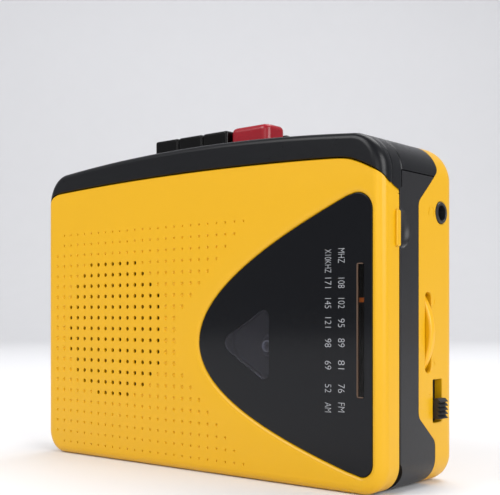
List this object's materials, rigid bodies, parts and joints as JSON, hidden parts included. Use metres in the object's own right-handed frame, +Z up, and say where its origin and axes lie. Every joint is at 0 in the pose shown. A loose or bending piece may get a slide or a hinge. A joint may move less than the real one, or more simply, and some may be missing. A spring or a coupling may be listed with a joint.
{
  "type": "cassette player",
  "caption": "Hand-size radio cassette player-recorder with hinged speaker door, smoked dial window, top keys, side tuning wheel, switch and earphone jack.",
  "frame": {"origin": "middle of the flat underside", "axes": "+X to the right seen from the front, front face towards -Y, +Z up"},
  "size_m": [0.1193, 0.033, 0.0896],
  "materials": {
    "yellow_shell": "fine satin moulded plastic",
    "charcoal_frame": "satin moulded plastic",
    "black_cover": "semi-gloss moulded plastic",
    "smoked_panel": "gloss acrylic over black print",
    "clear_lens": "clear acrylic",
    "black_liner": "matt moulded plastic",
    "black_key": "gloss moulded plastic",
    "red_key": "gloss moulded plastic",
    "yellow_wheel": "ribbed moulded plastic",
    "black_knob": "satin moulded plastic",
    "orange_pointer": "bright moulded plastic",
    "grey_hub": "moulded acetal",
    "steel_plate": "zinc-plated sheet",
    "polished_steel": "polished",
    "spring_wire": "spring wire and strip",
    "brass": "turned",
    "zinc_flywheel": "turned",
    "motor_can": "drawn can",
    "belt_rubber": "matt",
    "roller_rubber": "ground rubber",
    "cone_paper": "polyester film",
    "speaker_steel": "plated",
    "board_green": "solder mask",
    "component_brown": "moulded",
    "control_blue": "moulded",
    "ferrite": "sintered",
    "copper_wire": "enamelled copper winding",
    "cell_jacket": "plain cell jacket"
  },
  "bodies": {
    "case": {"middle_frame": "charcoal_frame", "top_bezel": "black_cover", "top_cover": "black_cover", "rear_cover": "yellow_shell", "hatch_pins": "polished_steel", "case_screws": "steel_plate", "hinge_pins": "polished_steel", "mech_plate": "steel_plate", "capstan_bush": "brass", "drive_belt": "belt_rubber", "motor": "motor_can", "key_rail": "steel_plate", "stop_key_spring": "spring_wire", "fast_forward_key_spring": "spring_wire", "play_key_spring": "spring_wire", "record_key_spring": "spring_wire", "tuning_capacitor": "control_blue", "volume_control": "component_brown", "function_switch": "black_liner", "headphone_jack": "black_knob", "main_board": "board_green", "board_components": "component_brown", "ferrite_rod": "ferrite", "antenna_coil": "copper_wire", "microphone": "speaker_steel", "battery_cells": "cell_jacket", "battery_contacts": "spring_wire", "battery_spring": "spring_wire"},
    "door": {"door_shell": "yellow_shell", "window_panel": "smoked_panel", "cassette_lens": "clear_lens", "dial_lens": "clear_lens", "door_liner": "black_liner", "speaker_frame": "speaker_steel", "speaker_cone": "cone_paper", "speaker_magnet": "speaker_steel", "speaker_cloth": "black_liner"},
    "hatch": {"battery_hatch": "yellow_shell"},
    "stop": {"stop_key": "black_key"},
    "fast_forward": {"fast_forward_key": "black_key"},
    "play": {"play_key": "black_key"},
    "record": {"record_key": "red_key"},
    "heads": {"head_carriage": "steel_plate", "record_play_head": "polished_steel", "erase_head": "polished_steel", "pinch_arm": "steel_plate"},
    "roller": {"pinch_roller": "roller_rubber"},
    "take_up": {"take_up_spindle": "grey_hub"},
    "supply": {"supply_spindle": "grey_hub"},
    "flywheel": {"flywheel": "zinc_flywheel", "capstan": "polished_steel"},
    "pulley": {"motor_pulley": "brass"},
    "idler": {"idler_wheel": "roller_rubber"},
    "tuning": {"tuning_wheel": "yellow_wheel"},
    "pointer": {"tuning_pointer": "orange_pointer"},
    "volume": {"volume_wheel": "black_knob"},
    "function": {"function_knob": "black_knob"}
  },
  "joints": [
    {"name": "door_hinge", "type": "hinge", "parent": "case", "child": "door", "pos_m": [0, -0.0133, 0.0032], "axis": [1, 0, 0], "range_deg": [0, 50]},
    {"name": "hatch_hinge", "type": "hinge", "parent": "case", "child": "hatch", "pos_m": [-0.003, 0.0155, 0.0052], "axis": [-1, 0, 0], "range_deg": [0, 90]},
    {"name": "stop_slide", "type": "slide", "parent": "case", "child": "stop", "axis": [0, 0, -1], "range_m": [0, 0.0045], "stiffness_N_per_m": 300, "springref_m": -0.002, "deforming": ["stop_key_spring"]},
    {"name": "fast_forward_slide", "type": "slide", "parent": "case", "child": "fast_forward", "axis": [0, 0, -1], "range_m": [0, 0.0045], "stiffness_N_per_m": 300, "springref_m": -0.002, "deforming": ["fast_forward_key_spring"]},
    {"name": "play_slide", "type": "slide", "parent": "case", "child": "play", "axis": [0, 0, -1], "range_m": [0, 0.0045], "stiffness_N_per_m": 300, "springref_m": -0.002, "deforming": ["play_key_spring"]},
    {"name": "record_slide", "type": "slide", "parent": "case", "child": "record", "axis": [0, 0, -1], "range_m": [0, 0.0045], "stiffness_N_per_m": 300, "springref_m": -0.002, "deforming": ["record_key_spring"]},
    {"name": "heads_slide", "type": "slide", "parent": "case", "child": "heads", "axis": [0, 0, -1], "range_m": [0, 0.0045]},
    {"name": "roller_spin", "type": "hinge", "parent": "heads", "child": "roller", "pos_m": [-0.031, -0.0037, 0.07095], "axis": [0, 1, 0], "continuous": true},
    {"name": "flywheel_spin", "type": "hinge", "parent": "case", "child": "flywheel", "pos_m": [-0.031, 0.0095, 0.0598], "axis": [0, 1, 0], "continuous": true},
    {"name": "pulley_spin", "type": "hinge", "parent": "case", "child": "pulley", "pos_m": [0.006, 0.0105, 0.056], "axis": [0, 1, 0], "continuous": true},
    {"name": "idler_spin", "type": "hinge", "parent": "case", "child": "idler", "pos_m": [-0.02789, 0.0053, 0.04712], "axis": [0, 1, 0], "continuous": true},
    {"name": "take_up_spin", "type": "hinge", "parent": "case", "child": "take_up", "pos_m": [-0.0243, 0.0015, 0.0325], "axis": [0, 1, 0], "continuous": true},
    {"name": "supply_spin", "type": "hinge", "parent": "case", "child": "supply", "pos_m": [0.0182, 0.0015, 0.0325], "axis": [0, 1, 0], "continuous": true},
    {"name": "tuning_turn", "type": "hinge", "parent": "case", "child": "tuning", "pos_m": [0.0441, 0.0034, 0.0363], "axis": [0, 1, 0], "range_deg": [-46.1, 123.3]},
    {"name": "pointer_slide", "type": "slide", "parent": "case", "child": "pointer", "axis": [0, 0, -1], "range_m": [-0.00745, 0.01985]},
    {"name": "volume_turn", "type": "hinge", "parent": "case", "child": "volume", "pos_m": [0.0443, 0.0015, 0.0744], "axis": [0, 1, 0], "range_deg": [-150, 150]},
    {"name": "function_slide", "type": "slide", "parent": "case", "child": "function", "axis": [0, 0, 1], "range_m": [0, 0.0036]}
  ],
  "couplings": [
    {"joint": "heads_slide", "follows": "play_slide", "ratio": 1},
    {"joint": "pulley_spin", "follows": "flywheel_spin", "ratio": 5},
    {"joint": "idler_spin", "follows": "flywheel_spin", "ratio": -0.86893},
    {"joint": "take_up_spin", "follows": "flywheel_spin", "ratio": 0.75},
    {"joint": "pointer_slide", "follows": "tuning_turn", "m_per_rad": 0.0092}
  ]
}
